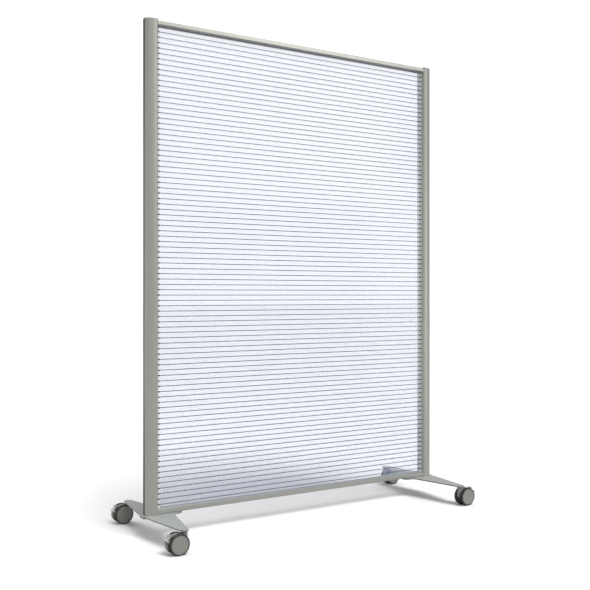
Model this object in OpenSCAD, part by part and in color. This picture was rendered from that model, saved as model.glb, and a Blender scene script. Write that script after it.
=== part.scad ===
// Rolling partition: a ribbed twin-wall sheet in an aluminium frame, standing
// on two T-shaped feet with four braked twin-wheel casters.
// Millimetres. X runs along the width, Y through the thickness (front is -Y)
// and Z up. The origin is on the floor, under the middle of the sheet.

/* [Overall] */
// Clear width between the two posts
opening_w = 1290; // [700:10:1600]
// Height from the floor to the top of the post caps
overall_h = 1922; // [1200:1:2200]

/* [Post] */
// Width of a post, from its inner face to its nose
post_w = 48; // [46:0.5:52]
// Greatest thickness of a post, front to rear
post_d = 50; // [48:0.5:54]
// Wall of the hollow post
post_wall = 2.2; // [1.8:0.1:2.6]
// Radius of the gently crowned front and rear faces
post_crown_r = 70; // [64:1:90]
// Distance from the inner face to the highest line of the crown
post_crown_x = 9; // [7:0.5:12]
// Thickness of the flat inner face and of the rails that butt on it
lip_d = 42; // [41:0.5:44]
// How far the bevel beside the inner face runs
lip_bevel = 5; // [3:0.5:6]
// Width of the accessory slot in the nose
cover_slot_w = 18; // [17.6:0.2:19]
// Depth of the accessory slot, from the nose
cover_slot_depth = 8; // [7.5:0.5:9]
// Thickness of the strip that closes the accessory slot
cover_t = 1.6; // [1.2:0.1:2]
// How far the strip sits below the nose
cover_recess = 2.4; // [2.2:0.1:2.6]
// Thickness of the strip's two legs
cover_leg_t = 0.8; // [0.6:0.1:1]
// Thickness of the cap on a post
cap_t = 3; // [2:0.5:5]
// Length of the cap's plug inside the post
cap_plug = 12; // [8:1:20]

/* [Rails] */
// Height of a rail
rail_h = 19; // [18:0.5:24]
// Height of a rail's front face, below its bevel
rail_face_h = 14.5; // [13:0.5:16]
// Depth of the sheet slot in a rail
rail_slot = 9.5; // [8.5:0.5:10]
// Radius of a rail's crowned front and rear faces
rail_crown_r = 60; // [45:1:90]
// Distance from a rail's outer face to the highest line of its crown
rail_crown_v = 8.5; // [6:0.5:10]
// Rounding of a rail's outer edges
rail_edge_r = 3; // [2:0.5:4]
// Width of the flat beside a rail's sheet slot
rail_lip_w = 1.5; // [1:0.1:2]

/* [Sheet] */
// Thickness of the twin-wall sheet
sheet_t = 16; // [15:0.5:16.5]
// Thickness of each skin of the sheet
skin_t = 1; // [0.6:0.1:1.6]
// Thickness of the webs between the skins
web_t = 1.2; // [0.6:0.1:2]
// Spacing of the webs
web_pitch = 20; // [12:1:40]
// Height of the lowest web above the sheet's lower edge
web_first = 1.8; // [1:0.1:10]
// How far the sheet reaches into each post
side_bite = 11; // [8:0.5:12]
// Space left for the sheet to grow when warm
edge_play = 1.5; // [1:0.1:2.5]
// Wall of the rubber edge channels
seal_t = 1.4; // [1.2:0.1:1.5]
// How far the side channels stand out of the posts
seal_bead = 1.2; // [0.8:0.1:2]

/* [Feet] */
// Height of a foot's underside above the top of the wheels
foot_clear = 4; // [4:0.5:8]
// Thickness of a foot
foot_t = 5; // [4.5:0.5:8]
// Distance from the sheet's middle plane to each caster
caster_reach = 252.5; // [200:2.5:320]
// Distance of a caster's swivel axis outside the post's inner face
caster_out = 5; // [2:0.5:9]
// Radius of an arm's round end
arm_end_r = 17; // [15:0.5:20]
// Distance of the outer edge outside the post's inner face
foot_out = 51; // [50:0.5:54]
// Half length of the straight stretch of the outer edge
foot_straight = 40; // [28:1:60]
// Distance inward at which an arm meets the tongue
arm_root_in = 60.6; // [56:0.2:62]
// Width of the tongue under the bottom rail
tongue_w = 52; // [50:1:56]
// Length of the tongue, inward from the post
tongue_len = 105; // [104:1:125]
// Fillet between an arm and the tongue
foot_fillet_r = 20; // [10:1:20]
// Width of the thick hub under the post
hub_w = 40; // [39:1:46]
// Distance of the hub's outer face outside the post's inner face
hub_out = 57; // [55:0.5:62]
// Distance of the hub's inner face outside the post's inner face
hub_in = 14; // [10:0.5:16]
// How far the hub reaches below the foot
hub_drop = 4; // [3.5:0.5:6]
// Rounding of the hub's upright corners
hub_corner_r = 4; // [2:0.5:6]
// Thickness of the pad between the tongue and the bottom rail
pad_t = 2; // [1.5:0.5:4]
// Distance of the pad's edge inside the tongue's edge
pad_margin = 6; // [5:0.5:7]

/* [Fasteners] */
// Diameter of the long screws through a post into a rail
rail_screw_d = 4.8; // [4:0.1:5]
// Diameter of their heads
rail_screw_head_d = 7; // [6.6:0.1:7.2]
// Height of their heads
rail_screw_head_h = 3; // [2:0.1:3.2]
// Distance of each of them from the middle plane
rail_screw_y = 4.2; // [4:0.05:4.2]
// How far they reach into a rail
rail_screw_bite = 20; // [12:1:40]
// Diameter of the bolts that hold a post on its foot
post_bolt_d = 8; // [6:0.5:8]
// Diameter of their heads
post_bolt_head_d = 13; // [12:0.5:14]
// Height of their heads
post_bolt_head_h = 4.5; // [4:0.1:5]
// Distance of each of them from the middle plane
post_bolt_y = 12; // [11.5:0.1:12.5]
// How far they reach into the insert
post_bolt_bite = 26; // [16:1:30]
// Size of the hexagon socket in their heads
post_bolt_key = 6; // [5:0.5:6]
// Depth of that socket
post_bolt_key_h = 2.8; // [2:0.1:3.5]
// Height of the insert in the foot of a post
insert_h = 40; // [34:1:60]
// Diameter of the screws through a tongue into the bottom rail
tongue_screw_d = 5; // [4:0.5:5]
// Diameter of their countersunk heads
tongue_screw_head_d = 9.6; // [8.5:0.1:10]
// Size of the hexagon socket in their heads
tongue_screw_key = 3; // [2.5:0.1:3.2]
// Depth of that socket
tongue_screw_key_h = 1.6; // [1.2:0.1:2]
// How far they reach into the bottom rail
tongue_screw_bite = 9; // [6:0.5:12]
// Distance of each of them from the middle plane
tongue_screw_y = 14; // [13.8:0.1:14.4]
// Distance of the first pair inward from the post
tongue_screw_near = 30; // [28:1:40]
// Distance of the second pair inward from the post
tongue_screw_far = 75; // [60:1:80]

/* [Wheels] */
// Diameter of a caster's wheels
wheel_d = 75; // [66:1:84]
// Width of one wheel
wheel_w = 17; // [16:0.5:20]
// Gap between a caster's two wheels
wheel_gap = 15; // [15:0.5:18]
// Distance of the axle behind the swivel axis
trail = 25; // [23:0.5:26]
// Thickness of a tyre
tyre_t = 5; // [4:0.5:7]
// Rounding of a tyre's shoulders
tyre_round = 3; // [1.5:0.1:3.4]
// Thickness of a wheel's disc
disc_t = 2.5; // [1.5:0.1:4]
// Wall of a wheel's rim
rim_t = 3; // [2:0.1:4]
// Diameter of a wheel's hub boss
boss_d = 15; // [13:0.5:20]
// Number of ribs inside a wheel
wheel_ribs = 6; // [3:1:9]
// Thickness of those ribs
wheel_rib_t = 2; // [1:0.1:3]
// Distance of those ribs from the wheel's inner face
wheel_rib_in = 6; // [4:0.5:10]
// Width of the groove round a wheel's disc
disc_groove_w = 0.8; // [0.6:0.1:1.2]
// Depth of that groove
disc_groove_h = 0.6; // [0.4:0.1:1]
// Distance of that groove from the disc's edge
disc_groove_in = 1.6; // [1:0.1:2.4]
// Diameter of the axle
axle_d = 8; // [6:0.5:9]
// Wall of the hood round the axle
axle_boss_t = 6.5; // [5:0.1:7]
// How far the axle reaches into each wheel
axle_bite = 13; // [10:0.5:14]

/* [Swivel] */
// How far the hood's rim stays inside the wheels' rims
hood_sink = 1; // [0:0.1:2]
// Distance of the hood's centre behind the axle
hood_back = 1; // [0.5:0.1:1.2]
// Distance of the hood's centre below the axle
hood_drop = 0.5; // [0.2:0.1:1]
// How far the hood's trailing skirt stands out past the wheels
skirt_over = 6; // [3:0.5:7]
// Angle of the skirt's upper edge above the axle
skirt_high = 12; // [6:1:13]
// Distance of the hood's trailing lower edge below the axle
hood_skirt = 14.5; // [11:0.5:18]
// Thickness of the hood's rim
hood_rim_t = 6; // [5:0.5:7]
// Depth of the pockets in the hood's sides
hood_pocket = 4; // [2:0.5:4.5]
// Distance of those pockets behind the neck
hood_pocket_in = 3; // [2:0.5:6]
// Diameter of the swivel neck
neck_d = 26; // [24:1:30]
// Length of the neck, from its domed lower end to the foot
neck_len = 48; // [40:0.5:50]
// Diameter of the swivel stem
stem_d = 10; // [8:0.5:10]
// Length of the stem below the foot
stem_len = 33; // [26:0.5:34]
// Diameter of the stem's collar
collar_d = 18; // [16:0.5:20]
// Thickness of the stem's collar
collar_t = 1.5; // [1:0.1:2]
// Outer diameter of the swivel bush
bush_d = 12.4; // [12:0.1:12.6]
// Length of the swivel bush
bush_h = 10; // [6:0.5:11]

/* [Brake pedal] */
// Gap between the pedal and the wheels
pedal_gap = 3.2; // [3:0.1:4]
// Thickness of the pedal
pedal_t = 2.5; // [2:0.1:3]
// Width of the pedal
pedal_w = 20; // [16:1:28]
// Angle of the pedal's lower edge above the axle
pedal_low = 22; // [21:1:24]
// Angle of the pedal's upper edge above the axle
pedal_high = 53; // [50:1:56]
// Width of the lip that the foot presses
lip_w = 38; // [30:1:46]
// Thickness of that lip
lip_t = 6; // [4:0.1:7]
// Height of the release fin above the pedal
fin_h = 6; // [3:0.5:7]
// Width of the release fin
fin_w = 16; // [12:1:20]
// Angle from the release fin's middle to each side of its root
fin_root_a = 5; // [3:0.5:6]
// Angle across the release fin's tip
fin_tip_a = 2; // [1:0.5:3]
// Angle from the pedal's upper edge to the release fin
fin_back_a = 6; // [5.5:0.5:8]
// Angle that the lip reaches below the pedal's lower edge
lip_down = 3; // [2:0.5:4]
// Angle that the lip reaches above that edge
lip_up = 4; // [3:0.5:5]
// Radius of the grip ribs on the pedal
grip_r = 0.8; // [0.5:0.1:1]
// Angle between those ribs
grip_step = 4; // [3:0.5:6]
// Width of the arm that joins the pedal to its pin
pedal_arm_w = 8; // [6:0.5:8]
// Height of that arm
pedal_arm_h = 7.6; // [6.5:0.1:8]
// Diameter of the pedal's pin
pin_d = 3; // [2.5:0.1:3]
// Wall of the arm round the pin
pin_boss_t = 2.7; // [2.2:0.1:2.9]
// Depth of the pin below the rim of the wheels
pin_depth = 4.5; // [4:0.1:5]
// Angle of the pin above the axle
pin_angle = 40; // [38:0.5:42]
// Travel of the pedal, from free to locked
pedal_travel = 8; // [4:1:9]

/* [Clearances] */
// Gap round a part that turns
run_gap = 0.05; // [0.02:0.01:0.1]
// Gap round a part that is pressed in
press_gap = 0.02; // [0.01:0.01:0.03]
// Gap round a part that slides in once and stays
seat_gap = 0.1; // [0.05:0.01:0.2]
// Gap between a foot and the swivel below it
swivel_gap = 0.4; // [0.3:0.05:0.5]
// Gap between the hood and a wheel
side_gap = 0.5; // [0.3:0.05:0.7]
// Gap between the neck and the rim of a wheel
neck_gap = 1; // [0.6:0.1:1.5]
// Gap between the plug of a cap and the long screws
plug_gap = 0.5; // [0.3:0.1:1]
// Gap past the end of a screw, a bolt or an axle in its hole
end_gap = 1; // [0.5:0.1:2]
// Gap between the pedal's arm and the sides of its pocket
arm_gap = 0.4; // [0.3:0.05:0.6]
// Gap between the pedal's arm and the pocket at the ends of its travel
travel_gap = 0.6; // [0.4:0.05:0.8]

/* [Hidden] */
$fn = 96;
far = 400; // longer than any cut needs to be
cut = 1; // how far a cut runs past the face that it opens

// Slots for the sheet and its rubber channels
slot_w = sheet_t + 2 * (seal_t + seat_gap);
post_slot = side_bite + edge_play + seal_t + seat_gap;
side_sheet_edge = side_bite;

// Heights
caster_h = wheel_d + foot_clear;
foot_top = caster_h + foot_t;
post_top = overall_h - cap_t;
bottom_rail_z = foot_top + pad_t;
bottom_lip_z = bottom_rail_z + rail_h;
top_lip_z = post_top - rail_h;
bottom_slot_z = bottom_lip_z - rail_slot;
top_slot_z = top_lip_z + rail_slot;
sheet_z0 = bottom_slot_z + seal_t + seat_gap;
sheet_z1 = top_slot_z - seal_t - seat_gap - edge_play;
sheet_h = sheet_z1 - sheet_z0;
web_n = floor((sheet_h - web_first - web_t / 2) / web_pitch) + 1;

// Post section: the nose arc touches both crowned faces from inside
crown_y = post_crown_r - post_d / 2;
crown_rest = post_crown_r - post_w;
nose_x = (pow(post_crown_x, 2) + pow(crown_y, 2) - pow(crown_rest, 2))
    / (2 * (crown_rest + post_crown_x));
nose_r = post_w - nose_x;
nose_turn = (nose_x - post_crown_x) / (post_crown_r - nose_r);
chamber_x0 = post_slot + post_wall;
chamber_x1 = post_w - cover_slot_depth - post_wall;
chamber_mid = (chamber_x0 + chamber_x1) / 2;
pocket_y0 = slot_w / 2 + post_wall;
cap_slot_w = 2 * rail_screw_y + rail_screw_d + 2 * plug_gap;

// The strip in the nose slot
cover_face_x = post_w - cover_recess;
cover_back_x = cover_face_x - cover_t;
cover_floor_x = post_w - cover_slot_depth;
cover_w = cover_slot_w - 2 * seat_gap;

// Rails
rail_crown_y = rail_crown_r - lip_d / 2;
rail_mouth_y = slot_w / 2 + rail_lip_w;
rail_screw_v = (rail_h - rail_slot) / 2;

// Feet
tongue_r = tongue_w / 2;
tongue_centre = tongue_len - tongue_r;
pad_w = tongue_w - 2 * pad_margin;
pad_tip = tongue_len - pad_margin;
hub_bottom = caster_h - hub_drop;
bolt_head_sink = 0.5;

// Casters
wheel_r = wheel_d / 2;
disc_r = wheel_r - tyre_t;
hood_w = wheel_gap - 2 * side_gap;
hood_r = wheel_r - hood_sink;
skirt_r = wheel_r + skirt_over;
skirt_rim_a = asin(hood_rim_t / skirt_r);
hood_low = wheel_r - hood_skirt;
skirt_down = 60; // angle below the axle at which the skirt is past its lower edge
hood_x = trail + hood_back;
hood_z = wheel_r - hood_drop;
wheel_clear_r = wheel_r + neck_gap;
swivel_top = caster_h - swivel_gap;
bush_top = caster_h - collar_t - swivel_gap;
stem_low = caster_h - stem_len;
neck_low = caster_h - neck_len;
neck_dome_z = neck_low + neck_d / 2;
axle_boss_r = axle_d / 2 + axle_boss_t;
axle_half = wheel_gap / 2 + axle_bite;
pedal_r = wheel_r + pedal_gap;
pin_r = wheel_r - pin_depth;
pin_x = trail + pin_r * cos(pin_angle);
pin_z = wheel_r + pin_r * sin(pin_angle);
pin_boss_r = pin_d / 2 + pin_boss_t;
pedal_pocket_h = pedal_arm_h + 2 * (pedal_r - pin_r) * sin(pedal_travel) + 2 * travel_gap;
pedal_pocket_w = pedal_arm_w + 2 * arm_gap;
pedal_out = pedal_r + pedal_t;

// Each corner: its name, its side along X and its side along Y
CORNERS = [
    ["front_left", -1, -1],
    ["front_right", 1, -1],
    ["rear_left", -1, 1],
    ["rear_right", 1, 1]
];
FRAME_NODES = [
    "left_post", "right_post", "top_rail", "bottom_rail", "sheet",
    "left_seal", "right_seal", "top_seal", "bottom_seal",
    "left_cap", "right_cap", "left_cover_strip", "right_cover_strip",
    "rail_screws", "post_inserts", "post_bolts",
    "left_foot", "right_foot", "rail_pads", "tongue_screws", "caster_stems"
];
CASTER_NODES = [
    "housing", "swivel_bush", "axle", "brake_pedal", "pedal_pin",
    "inner_hub", "inner_tyre", "outer_hub", "outer_tyre"
];

// Finishes
POST_COLOUR = [0.69, 0.70, 0.66];
RAIL_COLOUR = [0.74, 0.75, 0.71];
FOOT_COLOUR = [0.66, 0.69, 0.70];
SHEET_COLOUR = [0.90, 0.93, 0.98, 0.45];
SEAL_COLOUR = [0.42, 0.43, 0.45];
COVER_COLOUR = [0.38, 0.38, 0.36];
STEEL_COLOUR = [0.72, 0.73, 0.75];
HOOD_COLOUR = [0.58, 0.58, 0.56];
HUB_COLOUR = [0.55, 0.56, 0.53];
TYRE_COLOUR = [0.17, 0.17, 0.16];

// ---- placing ----

// Post and foot shapes are drawn for the right side, with x outward from the
// post's inner face, and are mirrored for the left.
module on_side(s) {
    if (s < 0) mirror([1, 0, 0]) translate([opening_w / 2, 0, 0]) children();
    else translate([opening_w / 2, 0, 0]) children();
}

// Caster shapes are drawn with the swivel axis at x = 0 and the axle behind it
// at x = trail. At rest each caster trails outward.
module at_caster(c) {
    translate([c[1] * (opening_w / 2 + caster_out), c[2] * caster_reach, 0])
        rotate([0, 0, c[1] < 0 ? 180 : 0])
            children();
}

// Turns an outline drawn in (x, z) into a solid that is w thick in y
module across(w) {
    translate([0, w / 2, 0])
        rotate([90, 0, 0])
            linear_extrude(w)
                children();
}

// A round bar along y, through (x, z)
module cross_bar(x, z, r, len) {
    translate([x, len / 2, z])
        rotate([90, 0, 0])
            cylinder(r = r, h = len);
}

// Where a line from point a touches a circle; side picks one of the two
function touch_point(a, c, r, side) =
    let (d = a - c, m = norm(d), to = atan2(d[1], d[0]), open = acos(r / m))
    c + r * [cos(to + side * open), sin(to + side * open)];

// ---- post ----

// Outline of the post, set in by a wall: two crowned faces and a round nose
module post_outline(inset) {
    join_x = nose_x + (nose_r - inset) * nose_turn;
    intersection() {
        translate([post_crown_x, crown_y]) circle(r = post_crown_r - inset);
        translate([post_crown_x, -crown_y]) circle(r = post_crown_r - inset);
        translate([0, -post_d]) square([join_x, 2 * post_d]);
    }
    translate([nose_x, 0]) circle(r = nose_r - inset);
}

// The middle chamber, made smaller all round by a gap
module post_chamber(gap) {
    intersection() {
        post_outline(post_wall + gap);
        translate([chamber_x0 + gap, -post_d])
            square([chamber_x1 - chamber_x0 - 2 * gap, 2 * post_d]);
    }
}

// The small chambers beside the sheet slot
module post_side_pockets() {
    for (s = [-1, 1])
        intersection() {
            post_outline(post_wall);
            translate([lip_bevel, s > 0 ? pocket_y0 : -pocket_y0 - post_d])
                square([post_slot - lip_bevel, post_d]);
        }
}

module post_section() {
    difference() {
        post_outline(0);
        post_chamber(0);
        post_side_pockets();
        translate([-cut, -slot_w / 2]) square([post_slot + cut, slot_w]);
        translate([cover_floor_x, -cover_slot_w / 2])
            square([cover_slot_depth + cut, cover_slot_w]);
        for (s = [-1, 1])
            polygon([
                [-cut, s * lip_d / 2], [0, s * lip_d / 2],
                [lip_bevel, s * post_d / 2], [lip_bevel, s * (post_d / 2 + cut)],
                [-cut, s * (post_d / 2 + cut)]
            ]);
    }
}

// Holes for the long screws, from the nose slot to the inner face
module post_screw_holes() {
    for (z = [bottom_rail_z + rail_screw_v, post_top - rail_screw_v], s = [-1, 1])
        translate([0, s * rail_screw_y, z])
            rotate([0, 90, 0])
                cylinder(d = rail_screw_d + 2 * seat_gap, h = post_w);
}

module post(s) {
    color(POST_COLOUR)
        on_side(s)
            difference() {
                translate([0, 0, foot_top])
                    linear_extrude(post_top - foot_top)
                        post_section();
                post_screw_holes();
            }
}

// A lid with the post's outline, held by two legs either side of the screws
module post_cap(s) {
    color(POST_COLOUR)
        on_side(s) {
            translate([0, 0, post_top]) linear_extrude(cap_t) post_outline(0);
            translate([0, 0, post_top - cap_plug])
                linear_extrude(cap_plug)
                    difference() {
                        post_chamber(seat_gap);
                        translate([0, -cap_slot_w / 2]) square([post_w, cap_slot_w]);
                    }
        }
}

module cover_strip(s) {
    color(COVER_COLOUR)
        on_side(s)
            translate([0, 0, foot_top + seat_gap])
                linear_extrude(post_top - foot_top - 2 * seat_gap) {
                    translate([cover_back_x, -cover_w / 2]) square([cover_t, cover_w]);
                    for (y = [-cover_w / 2, cover_w / 2 - cover_leg_t])
                        translate([cover_floor_x + seat_gap, y])
                            square([cover_back_x - cover_floor_x, cover_leg_t]);
                }
}

// ---- rails and their screws ----

// Section of a rail: x is front to rear, y grows from the outer face to the lip
module rail_section() {
    side_y = sqrt(pow(rail_crown_r, 2) - pow(rail_crown_v - rail_edge_r, 2)) - rail_crown_y;
    difference() {
        intersection() {
            translate([rail_crown_y, rail_crown_v]) circle(r = rail_crown_r);
            translate([-rail_crown_y, rail_crown_v]) circle(r = rail_crown_r);
            translate([-lip_d, 0]) square([2 * lip_d, rail_h]);
        }
        translate([-slot_w / 2, rail_h - rail_slot]) square([slot_w, rail_slot + cut]);
        for (s = [-1, 1]) {
            polygon([
                [s * rail_mouth_y, rail_h], [s * (lip_d / 2 + cut), rail_face_h],
                [s * (lip_d / 2 + cut), rail_h + cut], [s * rail_mouth_y, rail_h + cut]
            ]);
            difference() {
                translate([s > 0 ? side_y - rail_edge_r : -side_y - cut, -cut])
                    square([rail_edge_r + cut, rail_edge_r + cut]);
                translate([s * (side_y - rail_edge_r), rail_edge_r]) circle(r = rail_edge_r);
            }
            translate([s * rail_screw_y, rail_screw_v]) circle(d = rail_screw_d + 2 * press_gap);
        }
    }
}

module rail_bar() {
    translate([-opening_w / 2, 0, 0])
        rotate([90, 0, 90])
            linear_extrude(opening_w)
                rail_section();
}

module top_rail() {
    color(RAIL_COLOUR)
        translate([0, 0, post_top])
            mirror([0, 0, 1])
                rail_bar();
}

module bottom_rail() {
    color(RAIL_COLOUR)
        difference() {
            translate([0, 0, bottom_rail_z]) rail_bar();
            for (s = [-1, 1])
                on_side(s)
                    tongue_screw_places()
                        translate([0, 0, bottom_rail_z - cut])
                            cylinder(
                                d = tongue_screw_d + 2 * press_gap,
                                h = tongue_screw_bite + end_gap + cut
                            );
        }
}

module rail_screws() {
    color(STEEL_COLOUR)
        for (side = [-1, 1])
            on_side(side)
                for (z = [bottom_rail_z + rail_screw_v, post_top - rail_screw_v], s = [-1, 1])
                    translate([0, s * rail_screw_y, z])
                        rotate([0, 90, 0]) {
                            translate([0, 0, cover_floor_x])
                                cylinder(d = rail_screw_head_d, h = rail_screw_head_h);
                            translate([0, 0, -rail_screw_bite])
                                cylinder(d = rail_screw_d, h = cover_floor_x + rail_screw_bite);
                        }
}

// ---- sheet and seals ----

// Twin-wall sheet: two skins joined by a web at every pitch
module sheet() {
    sheet_w = opening_w + 2 * side_sheet_edge;
    cell_t = sheet_t - 2 * skin_t;
    color(SHEET_COLOUR)
        translate([-sheet_w / 2, 0, sheet_z0])
            rotate([90, 0, 90])
                linear_extrude(sheet_w)
                    difference() {
                        translate([-sheet_t / 2, 0]) square([sheet_t, sheet_h]);
                        for (i = [-1 : web_n - 1])
                            translate([-cell_t / 2, web_first + i * web_pitch + web_t / 2])
                                square([cell_t, web_pitch - web_t]);
                    }
}

// Section of a rubber channel: x grows from the slot's mouth to its floor
module seal_section(depth, bead) {
    out_y = (slot_w - seat_gap) / 2;
    in_y = (sheet_t + seat_gap) / 2;
    difference() {
        union() {
            translate([0, -out_y]) square([depth - seat_gap / 2, 2 * out_y]);
            if (bead > 0)
                translate([-bead, -out_y - bead]) square([bead, 2 * (out_y + bead)]);
        }
        translate([-bead - cut, -in_y])
            square([depth - seat_gap / 2 - seal_t + bead + cut, 2 * in_y]);
    }
}

module side_seal(s) {
    color(SEAL_COLOUR)
        on_side(s)
            translate([0, 0, bottom_lip_z + seat_gap])
                linear_extrude(top_lip_z - bottom_lip_z - 2 * seat_gap)
                    seal_section(post_slot, seal_bead);
}

module rail_seal() {
    rotate([0, 90, 0])
        translate([0, 0, -opening_w / 2 + seal_bead + seat_gap])
            linear_extrude(opening_w - 2 * (seal_bead + seat_gap))
                seal_section(rail_slot, 0);
}

module top_seal() {
    color(SEAL_COLOUR)
        translate([0, 0, top_lip_z])
            mirror([0, 0, 1])
                rail_seal();
}

module bottom_seal() {
    color(SEAL_COLOUR)
        translate([0, 0, bottom_lip_z])
            rail_seal();
}

// ---- feet ----

// One arm, its fillet and half of the tongue, towards +y or -y
module arm_outline(s) {
    end = [caster_out, caster_reach];
    outer_root = [foot_out, foot_straight];
    inner_root = [-arm_root_in, tongue_r];
    outer_touch = touch_point(outer_root, end, arm_end_r, 1);
    inner_touch = touch_point(inner_root, end, arm_end_r, -1);
    along = (inner_touch - inner_root) / norm(inner_touch - inner_root);
    corner = acos(along * [-1, 0]);
    setback = foot_fillet_r / tan(corner / 2);
    fillet_c = inner_root + [-setback, foot_fillet_r];
    mirror([0, s < 0 ? 1 : 0]) {
        polygon([
            [foot_out, 0], outer_root, outer_touch, end, inner_touch,
            inner_root, [-arm_root_in, 0]
        ]);
        translate(end) circle(r = arm_end_r);
        difference() {
            polygon([
                inner_root + [0, -cut], inner_root + [-setback, -cut],
                inner_root + [-setback, 0], fillet_c, inner_root + setback * along
            ]);
            translate(fillet_c) circle(r = foot_fillet_r);
        }
    }
}

module tongue_outline(tip, half_w, start) {
    translate([-tip + half_w, -half_w]) square([tip - half_w + start, 2 * half_w]);
    translate([-tip + half_w, 0]) circle(r = half_w);
}

module foot_outline() {
    arm_outline(1);
    arm_outline(-1);
    tongue_outline(tongue_len, tongue_r, 0);
}

module hub_outline() {
    r = hub_corner_r;
    translate([hub_in + r, -hub_w / 2]) square([hub_out - hub_in - 2 * r, hub_w]);
    translate([hub_in, -hub_w / 2 + r]) square([hub_out - hub_in, hub_w - 2 * r]);
    for (x = [hub_in + r, hub_out - r], y = [-hub_w / 2 + r, hub_w / 2 - r])
        translate([x, y]) circle(r = r);
}

module post_bolt_places() {
    for (s = [-1, 1])
        translate([chamber_mid, s * post_bolt_y, 0])
            children();
}

module tongue_screw_places() {
    for (x = [tongue_screw_near, tongue_screw_far], s = [-1, 1])
        translate([-x, s * tongue_screw_y, 0])
            children();
}

module foot(side) {
    color(FOOT_COLOUR)
        on_side(side)
            difference() {
                union() {
                    translate([0, 0, caster_h]) linear_extrude(foot_t) foot_outline();
                    translate([0, 0, hub_bottom]) linear_extrude(foot_top - hub_bottom) hub_outline();
                }
                post_bolt_places() {
                    translate([0, 0, hub_bottom - cut])
                        cylinder(d = post_bolt_d + 4 * seat_gap, h = far);
                    translate([0, 0, hub_bottom - cut])
                        cylinder(
                            d = post_bolt_head_d + 4 * seat_gap,
                            h = post_bolt_head_h + bolt_head_sink + cut
                        );
                }
                tongue_screw_places() {
                    translate([0, 0, caster_h - cut])
                        cylinder(d = tongue_screw_d + 2 * seat_gap, h = far);
                    translate([0, 0, caster_h]) countersink(seat_gap);
                }
                for (y = [-caster_reach, caster_reach])
                    translate([caster_out, y, caster_h - cut])
                        cylinder(d = stem_d + 2 * press_gap, h = far);
            }
}

// Countersunk head with its wide face down, grown by a gap
module countersink(gap) {
    head_h = (tongue_screw_head_d - tongue_screw_d) / 2;
    cylinder(
        d1 = tongue_screw_head_d + 2 * gap,
        d2 = tongue_screw_d + 2 * gap,
        h = head_h
    );
}

module rail_pads() {
    color(SEAL_COLOUR)
        for (side = [-1, 1])
            on_side(side)
                translate([0, 0, foot_top])
                    difference() {
                        linear_extrude(pad_t) tongue_outline(pad_tip, pad_w / 2, -seat_gap);
                        tongue_screw_places()
                            translate([0, 0, -cut])
                                cylinder(d = tongue_screw_d + 2 * seat_gap, h = pad_t + 2 * cut);
                    }
}

module tongue_screws() {
    shank = foot_t + pad_t + tongue_screw_bite;
    color(STEEL_COLOUR)
        for (side = [-1, 1])
            on_side(side)
                tongue_screw_places()
                    translate([0, 0, caster_h])
                        difference() {
                            union() {
                                countersink(0);
                                cylinder(d = tongue_screw_d, h = shank);
                            }
                            translate([0, 0, -cut])
                                cylinder(d = tongue_screw_key, h = tongue_screw_key_h + cut, $fn = 6);
                        }
}

module post_inserts() {
    color(STEEL_COLOUR)
        for (side = [-1, 1])
            on_side(side)
                difference() {
                    translate([0, 0, foot_top]) linear_extrude(insert_h) post_chamber(seat_gap);
                    post_bolt_places()
                        translate([0, 0, foot_top - cut])
                            cylinder(
                                d = post_bolt_d + 2 * press_gap,
                                h = post_bolt_bite + end_gap + cut
                            );
                    post_screw_holes();
                }
}

module post_bolts() {
    color(STEEL_COLOUR)
        for (side = [-1, 1])
            on_side(side)
                post_bolt_places()
                    translate([0, 0, hub_bottom + bolt_head_sink])
                        difference() {
                            union() {
                                cylinder(d = post_bolt_head_d, h = post_bolt_head_h);
                                cylinder(
                                    d = post_bolt_d,
                                    h = foot_top - hub_bottom - bolt_head_sink + post_bolt_bite
                                );
                            }
                            translate([0, 0, -cut])
                                cylinder(d = post_bolt_key, h = post_bolt_key_h + cut, $fn = 6);
                        }
}

// ---- casters ----

module caster_stems() {
    color(STEEL_COLOUR)
        for (c = CORNERS)
            at_caster(c) {
                translate([0, 0, stem_low]) cylinder(d = stem_d, h = foot_top - stem_low);
                translate([0, 0, caster_h - collar_t]) cylinder(d = collar_d, h = collar_t);
            }
}

// Side view of the hood: a disc over the wheels, open below
module hood_outline() {
    intersection() {
        union() {
            translate([hood_x, hood_z]) circle(r = hood_r);
            arc_band(hood_r - hood_rim_t, skirt_r, -skirt_down, skirt_high);
        }
        polygon([
            [0, swivel_top], [0, neck_low], [trail - axle_boss_r, wheel_r - axle_boss_r / 2],
            [trail, wheel_r - axle_boss_r], [trail + 2 * axle_boss_r, hood_low],
            [far, hood_low], [far, swivel_top]
        ]);
    }
    translate([trail, wheel_r]) circle(r = axle_boss_r);
}

// The pedal's room in the hood, round its pin and out to the rim
module pedal_pocket_outline() {
    translate([pin_x, pin_z]) {
        circle(r = pin_boss_r + travel_gap);
        rotate(pin_angle)
            translate([0, -pedal_pocket_h / 2])
                square([pedal_r, pedal_pocket_h]);
    }
}

module hood_pockets() {
    inner_r = hood_r - hood_rim_t;
    for (s = [-1, 1])
        translate([0, s * (hood_w - hood_pocket + cut) / 2, 0])
            across(hood_pocket + cut)
                difference() {
                    intersection() {
                        union() {
                            translate([hood_x, hood_z]) circle(r = inner_r);
                            arc_band(0, skirt_r - hood_rim_t, -skirt_down, skirt_high - skirt_rim_a);
                        }
                        translate([neck_d / 2 + hood_pocket_in, hood_low + hood_rim_t])
                            square([far, far]);
                    }
                    translate([trail, wheel_r]) circle(r = axle_boss_r);
                    translate([pin_x, pin_z]) circle(r = pin_boss_r + hood_rim_t / 2);
                }
}

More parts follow.
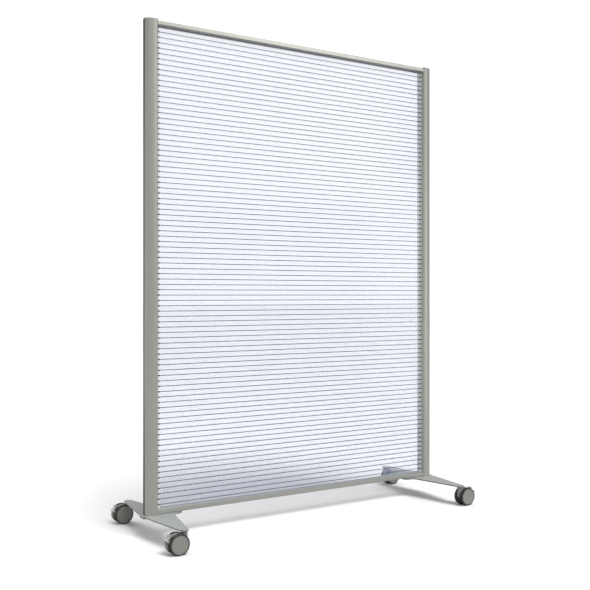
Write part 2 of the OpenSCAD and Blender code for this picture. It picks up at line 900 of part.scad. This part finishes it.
module housing(c) {
    color(HOOD_COLOUR)
        at_caster(c)
            difference() {
                union() {
                    across(hood_w) hood_outline();
                    translate([0, 0, neck_dome_z]) sphere(d = neck_d);
                    translate([0, 0, neck_dome_z]) cylinder(d = neck_d, h = swivel_top - neck_dome_z);
                }
                for (s = [-1, 1])
                    translate([trail, s * (hood_w / 2 + far / 2), wheel_r])
                        rotate([90, 0, 0])
                            cylinder(r = wheel_clear_r, h = far, center = true);
                hood_pockets();
                across(pedal_pocket_w) pedal_pocket_outline();
                cross_bar(trail, wheel_r, axle_d / 2 + press_gap, far);
                cross_bar(pin_x, pin_z, pin_d / 2 + press_gap, far);
                translate([0, 0, stem_low - swivel_gap]) cylinder(d = stem_d + 2 * run_gap, h = far);
                translate([0, 0, bush_top - bush_h]) cylinder(d = bush_d + 2 * press_gap, h = far);
                translate([0, 0, bush_top]) cylinder(d = collar_d + 2 * swivel_gap, h = far);
            }
}

module swivel_bush(c) {
    color(TYRE_COLOUR)
        at_caster(c)
            translate([0, 0, bush_top - bush_h])
                difference() {
                    cylinder(d = bush_d, h = bush_h);
                    translate([0, 0, -cut]) cylinder(d = stem_d + 2 * run_gap, h = bush_h + 2 * cut);
                }
}

module axle(c) {
    color(STEEL_COLOUR)
        at_caster(c)
            cross_bar(trail, wheel_r, axle_d / 2, 2 * axle_half);
}

module pedal_pin(c) {
    color(STEEL_COLOUR)
        at_caster(c)
            cross_bar(pin_x, pin_z, pin_d / 2, hood_w);
}

// Ring between two radii and two angles round the axle, in the side view
module arc_band(r0, r1, a0, a1) {
    translate([trail, wheel_r])
        intersection() {
            difference() {
                circle(r = r1);
                circle(r = r0);
            }
            polygon([
                [0, 0], 2 * r1 * [cos(a0), sin(a0)],
                2 * r1 * [cos((a0 + a1) / 2), sin((a0 + a1) / 2)],
                2 * r1 * [cos(a1), sin(a1)]
            ]);
        }
}

function round_axle(r, a) = [trail + r * cos(a), wheel_r + r * sin(a)];

// The curved tread with its grip ribs
module pedal_tread() {
    arc_band(pedal_r, pedal_out, pedal_low, pedal_high);
    for (a = [pedal_low + lip_up + grip_step : grip_step : pedal_high - fin_back_a - 2 * fin_root_a])
        translate(round_axle(pedal_out, a)) circle(r = grip_r);
}

// The fin that is lifted to release the brake
module pedal_fin() {
    fin_a = pedal_high - fin_back_a;
    root_r = pedal_r + pedal_t / 2;
    polygon([
        round_axle(root_r, fin_a + fin_root_a), round_axle(pedal_out + fin_h, fin_a),
        round_axle(pedal_out + fin_h, fin_a - fin_tip_a), round_axle(root_r, fin_a - fin_root_a)
    ]);
}

// The lip that is pressed, with its two ends rounded
module pedal_lip() {
    mid_a = pedal_low + (lip_up - lip_down) / 2;
    end_r = (pedal_r + lip_t) * sin((lip_up + lip_down) / 2) + seat_gap;
    intersection() {
        across(lip_w)
            arc_band(pedal_r, pedal_r + lip_t, pedal_low - lip_down, pedal_low + lip_up);
        translate([trail, 0, wheel_r])
            rotate([0, 90 - mid_a, 0])
                linear_extrude(far) {
                    square([2 * end_r, lip_w - 2 * end_r], center = true);
                    for (y = [end_r - lip_w / 2, lip_w / 2 - end_r])
                        translate([0, y]) circle(r = end_r);
                }
    }
}

module brake_pedal(c) {
    color(HOOD_COLOUR)
        at_caster(c)
            difference() {
                union() {
                    across(pedal_w) pedal_tread();
                    across(fin_w) pedal_fin();
                    pedal_lip();
                    across(pedal_arm_w) {
                        translate([pin_x, pin_z]) {
                            circle(r = pin_boss_r);
                            rotate(pin_angle)
                                translate([0, -pedal_arm_h / 2])
                                    square([pedal_r - pin_r + pedal_t / 2, pedal_arm_h]);
                        }
                    }
                }
                cross_bar(pin_x, pin_z, pin_d / 2 + run_gap, far);
            }
}

// Stands a wheel shape, drawn from its inner face upward, on the axle
module on_axle(c, side) {
    turned = side * c[2] * c[1];
    at_caster(c)
        translate([trail, turned * wheel_gap / 2, wheel_r])
            rotate([-90 * turned, 0, 0])
                children();
}

module tyre(c, side) {
    color(TYRE_COLOUR)
        on_axle(c, side)
            rotate_extrude() {
                shoulder = wheel_r - tyre_round;
                translate([disc_r, 0]) square([shoulder - disc_r, wheel_w]);
                translate([disc_r, tyre_round]) square([wheel_r - disc_r, wheel_w - 2 * tyre_round]);
                for (y = [tyre_round, wheel_w - tyre_round])
                    translate([shoulder, y]) intersection() {
                        circle(r = tyre_round);
                        translate([disc_r - shoulder, -tyre_round])
                            square([wheel_r, 2 * tyre_round]);
                    }
            }
}

module hub(c, side) {
    rim_r = disc_r - press_gap;
    color(HUB_COLOUR)
        on_axle(c, side)
            difference() {
                union() {
                    difference() {
                        cylinder(r = rim_r, h = wheel_w);
                        translate([0, 0, -cut])
                            cylinder(r = rim_r - rim_t, h = wheel_w - disc_t + cut);
                    }
                    translate([0, 0, side_gap]) cylinder(d = boss_d, h = wheel_w - disc_t);
                    for (i = [0 : wheel_ribs - 1])
                        rotate([0, 0, i * 360 / wheel_ribs])
                            translate([0, -wheel_rib_t / 2, wheel_rib_in])
                                cube([
                                    rim_r - rim_t / 2,
                                    wheel_rib_t,
                                    wheel_w - disc_t / 2 - wheel_rib_in
                                ]);
                }
                translate([0, 0, -cut])
                    cylinder(d = axle_d + 2 * run_gap, h = axle_bite + end_gap + cut);
                translate([0, 0, wheel_w - disc_groove_h])
                    difference() {
                        cylinder(r = rim_r - disc_groove_in, h = disc_groove_h + cut);
                        cylinder(r = rim_r - disc_groove_in - disc_groove_w, h = wheel_w);
                    }
            }
}

// ---- drawing ----

post(-1);  // left_post
post(1);  // right_post
top_rail();
bottom_rail();
sheet();
side_seal(-1);  // left_seal
side_seal(1);  // right_seal
top_seal();
bottom_seal();
post_cap(-1);  // left_cap
post_cap(1);  // right_cap
cover_strip(-1);  // left_cover_strip
cover_strip(1);  // right_cover_strip
rail_screws();
post_inserts();
post_bolts();
foot(-1);  // left_foot
foot(1);  // right_foot
rail_pads();
tongue_screws();
caster_stems();
for (c = CORNERS) {
    housing(c);
    swivel_bush(c);
    axle(c);
    brake_pedal(c);
    pedal_pin(c);
    hub(c, -1);
    tyre(c, -1);
    hub(c, 1);
    tyre(c, 1);
}
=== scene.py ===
import math

import bpy
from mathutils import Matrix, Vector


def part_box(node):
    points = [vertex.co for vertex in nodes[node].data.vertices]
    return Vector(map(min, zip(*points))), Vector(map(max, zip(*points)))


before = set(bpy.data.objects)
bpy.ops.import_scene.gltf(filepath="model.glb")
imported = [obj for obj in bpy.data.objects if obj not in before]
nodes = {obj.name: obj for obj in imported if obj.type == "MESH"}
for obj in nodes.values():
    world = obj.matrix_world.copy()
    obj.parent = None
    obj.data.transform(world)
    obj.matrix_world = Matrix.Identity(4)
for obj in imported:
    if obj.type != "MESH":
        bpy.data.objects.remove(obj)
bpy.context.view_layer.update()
print("frame loaded:", len(nodes), "pieces")


# small helpers that add shader nodes and hand back the socket to go on from

def addNode(tree, kind, **values):
    node = tree.nodes.new(kind)
    for key, value in values.items():
        setattr(node, key, value)
    return node


def newMaterial(name):
    mat = bpy.data.materials.new(name)
    mat.use_nodes = True
    return mat, mat.node_tree, mat.node_tree.nodes["Principled BSDF"]


def objectCoords(tree):
    return addNode(tree, "ShaderNodeTexCoord").outputs["Object"]


def splitAxes(tree, vector):
    node = addNode(tree, "ShaderNodeSeparateXYZ")
    tree.links.new(vector, node.inputs[0])
    return node.outputs


# how square a face stands to an axis: 1 across it, 0 along it
def facing(tree, axis):
    normal = addNode(tree, "ShaderNodeNewGeometry").outputs["True Normal"]
    return calc(tree, "ABSOLUTE", splitAxes(tree, normal)[axis])


# the pattern's coordinates times a number on each axis
def stretched(tree, source, scale):
    node = addNode(tree, "ShaderNodeMapping")
    node.inputs["Scale"].default_value = scale
    tree.links.new(source, node.inputs["Vector"])
    return node.outputs["Vector"]


def noise(tree, source, scale, detail):
    node = addNode(tree, "ShaderNodeTexNoise")
    node.inputs["Scale"].default_value = scale
    node.inputs["Detail"].default_value = detail
    tree.links.new(source, node.inputs["Vector"])
    return node.outputs["Fac"]


# one sum on two values, each a number or a socket
def calc(tree, operation, a, b=0.0, clamp=False):
    node = addNode(tree, "ShaderNodeMath", operation=operation, use_clamp=clamp)
    for socket, value in zip(node.inputs, (a, b)):
        if isinstance(value, (int, float)):
            socket.default_value = value
        else:
            tree.links.new(value, socket)
    return node.outputs[0]


# maps a value from one range to another, held at both ends
def ramped(tree, value, fromRange, toRange, smooth=False):
    node = addNode(tree, "ShaderNodeMapRange")
    if smooth:
        node.interpolation_type = "SMOOTHSTEP"
    tree.links.new(value, node.inputs["Value"])
    for name, number in zip(("From Min", "From Max", "To Min", "To Max"), fromRange + toRange):
        node.inputs[name].default_value = number
    return node.outputs["Result"]


def mixColours(tree, factor, a, b):
    node = addNode(tree, "ShaderNodeMix", data_type="RGBA")
    tree.links.new(factor, node.inputs["Factor"])
    for socket, value in zip((node.inputs[6], node.inputs[7]), (a, b)):
        if isinstance(value, tuple):
            socket.default_value = (*value, 1.0)
        else:
            tree.links.new(value, socket)
    return node.outputs[2]


noiseSpan = (0.3, 0.7)  # where nearly all of a noise pattern's values lie


# grain drives the roughness and a bump; bump is its strength and its depth in metres
def grainFinish(tree, shader, grain, roughness, bump):
    tree.links.new(ramped(tree, grain, noiseSpan, roughness), shader.inputs["Roughness"])
    node = addNode(tree, "ShaderNodeBump")
    node.inputs["Strength"].default_value, node.inputs["Distance"].default_value = bump
    tree.links.new(grain, node.inputs["Height"])
    tree.links.new(node.outputs["Normal"], shader.inputs["Normal"])


# satin anodised profile: fine drawing lines along the bar, faint cloudiness
anodised = {
    "colour": (0.435, 0.435, 0.395),
    "colourWorn": (0.49, 0.49, 0.455),
    "roughness": (0.34, 0.43),
    "metallic": 0.75,
    "lineScale": 900.0,
    "alongBar": 0.004,  # draws the pattern out 250 times along the bar
    "cloudScale": 9.0,
    "bump": (0.08, 0.0002),
}


def anodisedMetal(name, barAxis):
    mat, tree, shader = newMaterial(name)
    where = objectCoords(tree)
    drawn = [1.0, 1.0, 1.0]
    drawn[barAxis] = anodised["alongBar"]
    lines = noise(tree, stretched(tree, where, drawn), anodised["lineScale"], detail=2.0)
    clouds = noise(tree, where, anodised["cloudScale"], detail=2.0)
    blend = calc(tree, "MULTIPLY", calc(tree, "ADD", lines, clouds), 0.5)
    colour = mixColours(tree, blend, anodised["colour"], anodised["colourWorn"])
    tree.links.new(colour, shader.inputs["Base Color"])
    grainFinish(tree, shader, lines, anodised["roughness"], anodised["bump"])
    shader.inputs["Metallic"].default_value = anodised["metallic"]
    return mat


# powder coat: fine orange peel, with painted shade on the feet's upright edge faces
powder = {
    "colour": (0.385, 0.403, 0.388),
    "colourDark": (0.355, 0.372, 0.358),
    # how much darker the upright edge faces are painted: painted shade
    "paintedEdgeShade": 0.63,
    "roughness": (0.42, 0.54),
    "metallic": 0.2,
    "peelScale": 700.0,
    "cloudScale": 12.0,
    "bump": (0.15, 0.0003),
}


def powderCoat(name):
    mat, tree, shader = newMaterial(name)
    where = objectCoords(tree)
    peel = noise(tree, where, powder["peelScale"], detail=3.0)
    clouds = noise(tree, where, powder["cloudScale"], detail=2.0)
    coat = mixColours(tree, clouds, powder["colourDark"], powder["colour"])
    # the upright faces get a darker copy of the coat, painted shade on the feet's edges
    paintedEdgeColour = tuple(c * powder["paintedEdgeShade"] for c in powder["colour"])
    tree.links.new(mixColours(tree, facing(tree, "Z"), paintedEdgeColour, coat), shader.inputs["Base Color"])
    grainFinish(tree, shader, peel, powder["roughness"], powder["bump"])
    shader.inputs["Metallic"].default_value = powder["metallic"]
    return mat


# moulded plastic or rubber: faint clouds and a fine spark-eroded grain
mouldings = {
    "capPlastic": {"colour": (0.44, 0.45, 0.42), "roughness": 0.42},
    "stripPlastic": {"colour": (0.055, 0.055, 0.048), "roughness": 0.5},
    "padRubber": {"colour": (0.30, 0.31, 0.30), "roughness": 0.55},
    "sealRubber": {"colour": (0.78, 0.80, 0.74), "roughness": 0.5},
    "casterPlastic": {"colour": (0.24, 0.245, 0.23), "roughness": 0.40},
    "pedalPlastic": {"colour": (0.36, 0.36, 0.34), "roughness": 0.38},
    "wheelPlastic": {"colour": (0.257, 0.262, 0.237), "roughness": 0.42},
    "bushPlastic": {"colour": (0.05, 0.05, 0.05), "roughness": 0.5},
}
mouldGrain = {
    "scale": 1400.0,
    "cloudScale": 40.0,
    "cloudShade": 0.90,
    "spread": 0.06,  # of the roughness, to each side
    "bump": (0.12, 0.0002),
}


def mouldedPlastic(name):
    look = mouldings[name]
    mat, tree, shader = newMaterial(name)
    where = objectCoords(tree)
    grain = noise(tree, where, mouldGrain["scale"], detail=2.0)
    clouds = noise(tree, where, mouldGrain["cloudScale"], detail=2.0)
    darker = tuple(c * mouldGrain["cloudShade"] for c in look["colour"])
    tree.links.new(mixColours(tree, clouds, darker, look["colour"]), shader.inputs["Base Color"])
    rough = (look["roughness"] - mouldGrain["spread"], look["roughness"] + mouldGrain["spread"])
    grainFinish(tree, shader, grain, rough, mouldGrain["bump"])
    return mat


# rubber tyre: nearly black, with patches of dust
rubber = {
    "colour": (0.016, 0.016, 0.015),
    "dust": (0.034, 0.033, 0.030),
    "dustSpan": (0.45, 0.75),
    "dustScale": 60.0,
    "roughness": (0.50, 0.66),
    "grainScale": 900.0,
    "bump": (0.15, 0.0003),
}


def treadRubber(name):
    mat, tree, shader = newMaterial(name)
    where = objectCoords(tree)
    grain = noise(tree, where, rubber["grainScale"], detail=3.0)
    dust = ramped(tree, noise(tree, where, rubber["dustScale"], detail=4.0), rubber["dustSpan"], (0.0, 1.0))
    tree.links.new(mixColours(tree, dust, rubber["colour"], rubber["dust"]), shader.inputs["Base Color"])
    grainFinish(tree, shader, grain, rubber["roughness"], rubber["bump"])
    return mat


# zinc-plated steel: small bright and dull flecks
zinc = {
    "colour": (0.52, 0.53, 0.55),
    "colourBright": (0.68, 0.69, 0.70),
    "fleckScale": 260.0,
    "roughness": (0.24, 0.38),
}


def platedSteel(name):
    mat, tree, shader = newMaterial(name)
    flecks = noise(tree, objectCoords(tree), zinc["fleckScale"], detail=3.0)
    colour = mixColours(tree, flecks, zinc["colour"], zinc["colourBright"])
    tree.links.new(colour, shader.inputs["Base Color"])
    tree.links.new(ramped(tree, flecks, noiseSpan, zinc["roughness"]), shader.inputs["Roughness"])
    shader.inputs["Metallic"].default_value = 1.0
    return mat


# twin-wall sheet: two nearly clear skins with a dark line at every web, and
# pale tape over the open ends beside the posts, where the lines are painted wider as a painted refraction
# of the dark posts
sheetLook = {
    "pitch": 0.020,
    "firstWeb": 0.0018,  # from the sheet's lower edge to the middle of its first web
    "face": (0.0074, 0.0076),  # blend from the webs to the skins' outer faces, in y
    "lineHalf": 0.00105,
    "lineSoft": 0.0003,
    "lineFrom": 0.02,  # above this strength the colour is the line's
    "refractedLineHalf": 0.0027,
    # half width of the lines beside the posts: a painted refraction of the dark posts
    "tapeAndRefractionEdge": (0.6318, 0.6324),
    "tapeAlpha": 0.72,
    "tape": (0.74, 0.77, 0.72),
    "skinAlpha": (0.112, 0.128),
    "webAlpha": 0.11,
    "lineAlpha": 0.97,
    "rearLineAlpha": 0.20,
    "skin": (0.67, 0.74, 0.92),
    "line": (0.055, 0.060, 0.075),
    "roughness": 0.12,
    "streak": (0.8, 1.0, 30.0),
    "streakScale": 14.0,
}


# away from a web's middle = |fraction of (z - first web + half pitch) / pitch - 0.5| * pitch
def webDistance(tree, z):
    pitch = sheetLook["pitch"]
    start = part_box("sheet")[0][2] + sheetLook["firstWeb"] - pitch / 2
    turns = calc(tree, "DIVIDE", calc(tree, "SUBTRACT", z, start), pitch)
    offMiddle = calc(tree, "SUBTRACT", calc(tree, "FRACT", turns), 0.5)
    return calc(tree, "MULTIPLY", calc(tree, "ABSOLUTE", offMiddle), pitch)


def twinWallSheet(name):
    mat, tree, shader = newMaterial(name)
    where = objectCoords(tree)
    x, y, z = splitAxes(tree, where)
    skinFace = facing(tree, "Y")
    near, far = sheetLook["face"]
    front = ramped(tree, y, (-far, -near), (1.0, 0.0))
    rear = ramped(tree, y, (near, far), (0.0, 1.0))
    # the band beside the posts holds the tape and the lines' painted refraction of the dark posts
    tapeAndRefractionMask = ramped(tree, calc(tree, "ABSOLUTE", x), sheetLook["tapeAndRefractionEdge"], (0.0, 1.0))

    # the lines: strong on the front skin, faint on the rear one; beside the posts they are painted wider, a
    # painted refraction of the dark posts
    half, soft = sheetLook["lineHalf"], sheetLook["lineSoft"]
    paintedRefractionWidth = calc(tree, "MULTIPLY", tapeAndRefractionMask, sheetLook["refractedLineHalf"] - half)
    away = calc(tree, "SUBTRACT", webDistance(tree, z), paintedRefractionWidth)
    onLine = ramped(tree, away, (half, half + soft), (1.0, 0.0))
    frontLine = calc(tree, "MULTIPLY", front, sheetLook["lineAlpha"])
    rearLine = calc(tree, "MULTIPLY", rear, sheetLook["rearLineAlpha"])
    line = calc(tree, "MULTIPLY", calc(tree, "ADD", frontLine, rearLine), onLine)
    line = calc(tree, "MULTIPLY", line, skinFace, True)

    # the skins, with streaks along the sheet, the webs and the tape
    streak = noise(tree, stretched(tree, where, sheetLook["streak"]), sheetLook["streakScale"], detail=3.0)
    skin = calc(tree, "MULTIPLY", skinFace, ramped(tree, streak, noiseSpan, sheetLook["skinAlpha"]))
    web = calc(tree, "MULTIPLY", calc(tree, "SUBTRACT", 1.0, skinFace), sheetLook["webAlpha"])
    tape = calc(tree, "MULTIPLY", calc(tree, "MULTIPLY", tapeAndRefractionMask, front), sheetLook["tapeAlpha"])
    pale = calc(tree, "MAXIMUM", calc(tree, "ADD", skin, web), tape)
    tree.links.new(calc(tree, "MAXIMUM", pale, line), shader.inputs["Alpha"])

    paleColour = mixColours(tree, tape, sheetLook["skin"], sheetLook["tape"])
    isLine = calc(tree, "GREATER_THAN", line, sheetLook["lineFrom"])
    tree.links.new(mixColours(tree, isLine, paleColour, sheetLook["line"]), shader.inputs["Base Color"])
    shader.inputs["Roughness"].default_value = sheetLook["roughness"]
    return mat


def dress(names, material):
    for name in names:
        mesh = nodes[name].data
        mesh.materials.clear()
        mesh.materials.append(material)


plastic = {name: mouldedPlastic(name) for name in mouldings}
steel = platedSteel("steel")
tread = treadRubber("tread")

dress(["left_post", "right_post"], anodisedMetal("postMetal", barAxis=2))
dress(["top_rail", "bottom_rail"], anodisedMetal("railMetal", barAxis=0))
dress(["left_foot", "right_foot"], powderCoat("footPaint"))
dress(["sheet"], twinWallSheet("sheetPlastic"))
dress(["left_cap", "right_cap"], plastic["capPlastic"])
dress(["left_cover_strip", "right_cover_strip"], plastic["stripPlastic"])
dress(["left_seal", "right_seal", "top_seal", "bottom_seal"], plastic["sealRubber"])
dress(["rail_pads"], plastic["padRubber"])
dress(["rail_screws", "post_inserts", "post_bolts", "tongue_screws", "caster_stems"], steel)
for corner in ["front_left", "front_right", "rear_left", "rear_right"]:
    dress([corner + "_housing"], plastic["casterPlastic"])
    dress([corner + "_brake_pedal"], plastic["pedalPlastic"])
    dress([corner + "_swivel_bush"], plastic["bushPlastic"])
    dress([corner + "_axle", corner + "_pedal_pin"], steel)
    dress([corner + "_inner_hub", corner + "_outer_hub"], plastic["wheelPlastic"])
    dress([corner + "_inner_tyre", corner + "_outer_tyre"], tread)
print("finishes set")


def addToScene(name, data):
    obj = bpy.data.objects.new(name, data)
    bpy.context.scene.collection.objects.link(obj)
    return obj


# the floor gives less light back to the frame than it shows to the camera
floorLook = {
    "colour": (0.86, 0.86, 0.86),
    "bounce": (0.46, 0.46, 0.46),
    "roughness": 0.9,
    "half": 60.0,
}


def paintedFloor(name):
    mat, tree, shader = newMaterial("floorPaint")
    seen = addNode(tree, "ShaderNodeLightPath").outputs["Is Camera Ray"]
    colour = mixColours(tree, seen, floorLook["bounce"], floorLook["colour"])
    tree.links.new(colour, shader.inputs["Base Color"])
    shader.inputs["Roughness"].default_value = floorLook["roughness"]
    shader.inputs["Specular IOR Level"].default_value = 0.0
    half = floorLook["half"]
    mesh = bpy.data.meshes.new(name)
    corners = [(-half, -half, 0), (half, -half, 0), (half, half, 0), (-half, half, 0)]
    mesh.from_pydata(corners, [], [(0, 1, 2, 3)])
    mesh.materials.append(mat)
    return addToScene(name, mesh)


paintedFloor("floor")

# the room is white to the camera, and dimmer to what the frame mirrors: its
# strength blends over the direction's x, from left to front to right, and on
# the left also over z, from low to high
studio = {
    "seen": 1.12,
    "left": 0.88,
    "leftHigh": 0.42,
    "front": 0.38,
    "right": 0.36,
    "leftBlend": (-0.95, -0.40),
    "highBlend": (0.0, 0.35),
    "rightBlend": (0.2, 0.95),
}


def whiteRoom(name):
    world = bpy.data.worlds.new(name)
    bpy.context.scene.world = world
    world.use_nodes = True
    tree = world.node_tree
    direction = addNode(tree, "ShaderNodeTexCoord").outputs["Generated"]
    x, _, z = splitAxes(tree, direction)
    front = studio["front"]
    low, high = studio["left"] - front, studio["leftHigh"] - front
    isLeft = ramped(tree, x, studio["leftBlend"], (1.0, 0.0), True)
    gain = calc(tree, "MULTIPLY", isLeft, ramped(tree, z, studio["highBlend"], (low, high), True))
    fromLeft = calc(tree, "ADD", gain, front)
    toRight = ramped(tree, x, studio["rightBlend"], (0.0, front - studio["right"]), True)
    strength = addNode(tree, "ShaderNodeMix", data_type="FLOAT")
    seen = addNode(tree, "ShaderNodeLightPath").outputs["Is Camera Ray"]
    tree.links.new(seen, strength.inputs["Factor"])
    tree.links.new(calc(tree, "SUBTRACT", fromLeft, toRight), strength.inputs[2])
    strength.inputs[3].default_value = studio["seen"]
    background = tree.nodes["Background"]
    background.inputs["Color"].default_value = (1, 1, 1, 1)
    tree.links.new(strength.outputs[0], background.inputs["Strength"])


whiteRoom("studio")

# far soft lamps: heading, height and spread are in degrees
suns = {
    "keySun": {"heading": 12.0, "height": 59.0, "spread": 32.0, "power": 2.5},
    "rearSun": {"heading": 172.0, "height": 62.0, "spread": 48.0, "power": 0.45},
}


def softSun(name, look):
    data = bpy.data.lights.new(name, "SUN")
    data.energy = look["power"]
    data.angle = math.radians(look["spread"])
    obj = addToScene(name, data)
    obj.rotation_euler = (math.radians(90 - look["height"]), 0, math.radians(look["heading"]))


# soft boxes: the front and right ones are what the rails and the posts'
# crowned faces mirror, the left one lights the rear left caster, the rear one
# the right post behind the sheet
boxes = {
    "frontBox": {"place": (2.35, -3.9, 3.0), "aim": (0.0, 0.0, 1.2), "size": (2.2, 2.6), "power": 42.0},
    "rightBox": {"place": (3.05, -2.6, 0.95), "aim": (0.66, 0.0, 0.95), "size": (1.1, 1.8), "power": 8.0},
    "leftBox": {"place": (-1.6, 0.95, 0.5), "aim": (-0.67, 0.25, 0.05), "size": (0.5, 0.5), "power": 4.2},
    "rearBox": {"place": (-2.4, 3.3, 1.1), "aim": (0.66, 0.0, 1.0), "size": (1.4, 2.6), "power": 34.0},
}


# a lit rectangle that faces the point it is aimed at
def softBox(name, look):
    data = bpy.data.lights.new(name, "AREA")
    data.shape = "RECTANGLE"
    data.size, data.size_y = look["size"]
    data.energy = look["power"]
    obj = addToScene(name, data)
    obj.location = look["place"]
    east, north, up = [a - b for a, b in zip(look["aim"], look["place"])]
    tilt = math.atan2(up, math.hypot(east, north))
    obj.rotation_euler = (math.radians(90) + tilt, 0, math.atan2(-east, north))
    obj.visible_camera = False


for name, look in suns.items():
    softSun(name, look)
for name, look in boxes.items():
    softBox(name, look)

# the photograph's view: level, turned 32.76 degrees to look from the front left
cameraLook = {
    "place": (-1.9876, -3.0459, 0.899),
    "turn": -32.76,
    "lens": 53.88,
    "sensor": 36.0,
    "clip": (0.05, 120.0),
}


def photoCamera(name):
    data = bpy.data.cameras.new(name)
    data.lens = cameraLook["lens"]
    data.sensor_width = cameraLook["sensor"]
    data.clip_start, data.clip_end = cameraLook["clip"]
    camera = addToScene(name, data)
    camera.location = cameraLook["place"]
    camera.rotation_euler = (math.radians(90), 0, math.radians(cameraLook["turn"]))
    return camera


bpy.context.scene.camera = photoCamera("camera")
bpy.context.scene.view_settings.view_transform = "Standard"
print("light and camera set")
